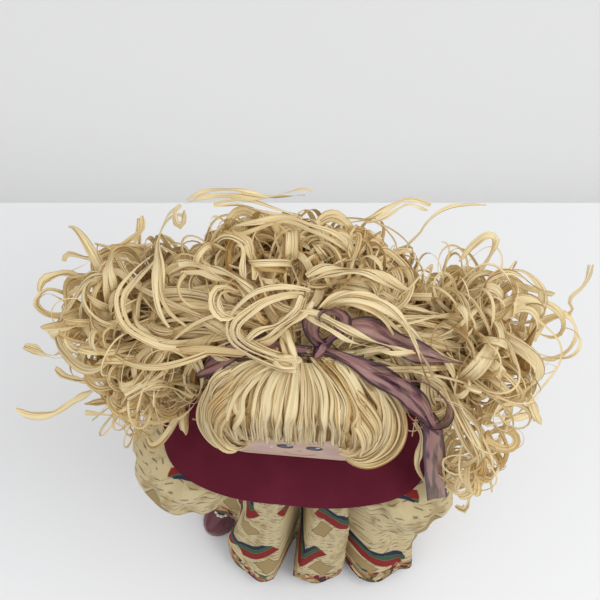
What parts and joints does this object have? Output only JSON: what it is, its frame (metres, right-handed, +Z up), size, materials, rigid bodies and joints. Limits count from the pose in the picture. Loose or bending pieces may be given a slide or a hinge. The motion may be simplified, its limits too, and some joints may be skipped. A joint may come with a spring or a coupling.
{
  "type": "wooden doll",
  "caption": "Standing craft doll with a block head, pegged arms, turned legs, painted shoes, a cloth dress with a cape collar, and a big mass of looped raffia hair with a ribbon.",
  "frame": {"origin": "on the floor, under the middle of the doll's overall box", "axes": "+Z up through the head, -Y the way the doll looks, +X towards its left hand"},
  "size_m": [0.4043, 0.1955, 0.4872],
  "materials": {
    "painted_face": "sanded pine with a pinkish face paint, dark oval eyes and rosy cheeks, satin",
    "pine": "sanded pine, satin",
    "shoe_paint": "dark burgundy paint on wood, semi-gloss",
    "white_trim": "off-white beaded cord trim, matte",
    "printed_cotton": "cream cotton with a small country print in tan, red, green and navy, matte",
    "burgundy_cloth": "deep burgundy cotton, matte with soft creases",
    "raffia": "natural straw-coloured raffia, dry satin with lengthwise creases",
    "organza": "sheer plum organza with darker woven edges"
  },
  "bodies": {
    "figure": {"head": "painted_face", "torso": "pine", "neck_dowel": "pine", "leg_right": "pine", "leg_left": "pine", "shoe_right": "shoe_paint", "shoe_left": "shoe_paint", "shoe_trim_right": "white_trim", "shoe_trim_left": "white_trim", "shoulder_peg_right": "pine", "shoulder_peg_left": "pine", "bodice": "printed_cotton", "skirt": "printed_cotton", "collar": "burgundy_cloth", "hair_bangs": "raffia", "hair_crown": "raffia", "hair_back": "raffia", "hair_right": "raffia", "hair_left": "raffia", "raffia_tie": "raffia", "raffia_bow": "raffia", "ribbon_knot": "organza", "ribbon_band": "organza", "ribbon_loop": "organza", "ribbon_tail_short": "organza", "ribbon_tail_long": "organza"},
    "right_arm": {"arm_right": "pine", "sleeve_right": "printed_cotton"},
    "left_arm": {"arm_left": "pine", "sleeve_left": "printed_cotton"}
  },
  "joints": [
    {"name": "arm_right_swing", "type": "hinge", "parent": "figure", "child": "right_arm", "pos_m": [-0.0568, -0.004, 0.286], "axis": [-1, 0, 0], "range_deg": [-15, 30], "deforming": ["sleeve_right"]},
    {"name": "arm_left_swing", "type": "hinge", "parent": "figure", "child": "left_arm", "pos_m": [0.0568, -0.004, 0.286], "axis": [-1, 0, 0], "range_deg": [-15, 30], "deforming": ["sleeve_left"]}
  ]
}
